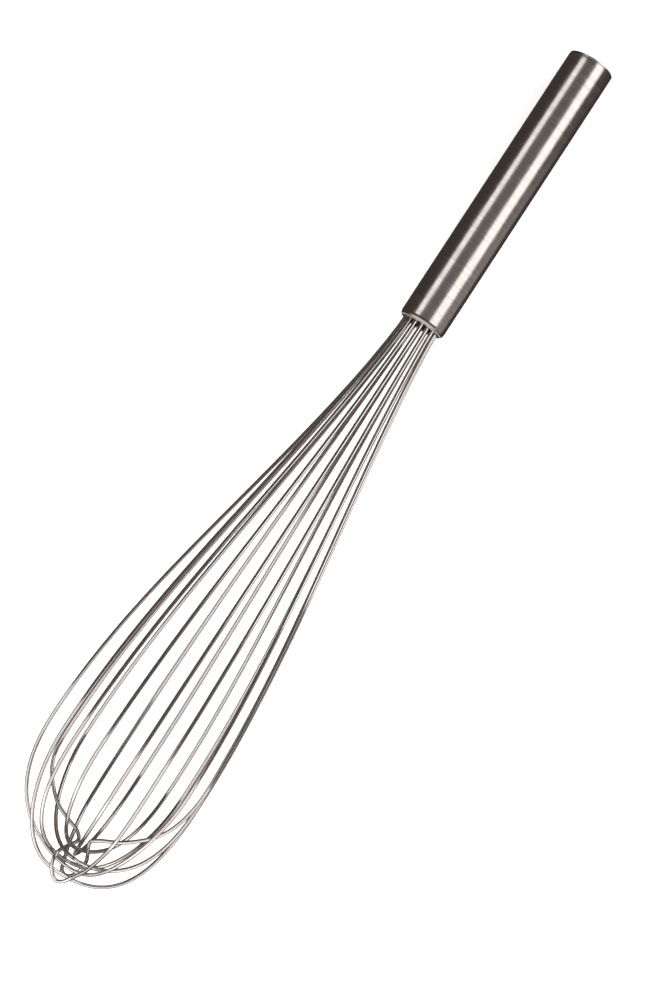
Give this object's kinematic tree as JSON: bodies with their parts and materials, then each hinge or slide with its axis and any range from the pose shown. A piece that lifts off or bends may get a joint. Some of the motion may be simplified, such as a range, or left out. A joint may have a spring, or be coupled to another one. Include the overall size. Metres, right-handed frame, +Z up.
{
  "type": "balloon whisk",
  "caption": "Stainless balloon whisk: plain tube handle with a curled-in mouth, from which a ring of wire legs swells into a balloon of loops locked together at the tip.",
  "frame": {"origin": "centre of the bottom of the box of the whisk as it lies at rest on a flat surface, on the edge of its end cap and on two wires", "axes": "+Z up; +X from the handle towards the tip, with the whisk's own axis rising 4.16 degrees towards the tip; +Y to the left of someone looking along +X"},
  "size_m": [0.3994, 0.0718, 0.0691],
  "materials": {
    "satin_steel": "satin, brushed round the tube",
    "cap_steel": "satin, turned",
    "polished_steel": "bright polished wire",
    "sleeve_steel": "plain rolled",
    "pin_steel": "turned, dull",
    "dark_nylon": "moulded nylon",
    "disc_nylon": "moulded nylon",
    "grey_resin": "cast epoxy resin"
  },
  "bodies": {
    "root": {"handle_tube": "satin_steel", "end_cap": "cap_steel", "stop_disc": "disc_nylon", "wire_retainer": "dark_nylon", "clamp_sleeve": "sleeve_steel", "mouth_seal": "grey_resin", "core_pin": "pin_steel", "wire_loop_1": "polished_steel", "wire_loop_2": "polished_steel", "wire_loop_3": "polished_steel", "wire_loop_4": "polished_steel", "wire_loop_5": "polished_steel", "wire_loop_6": "polished_steel", "locking_loop_front": "polished_steel", "locking_loop_back": "polished_steel"}
  },
  "joints": []
}
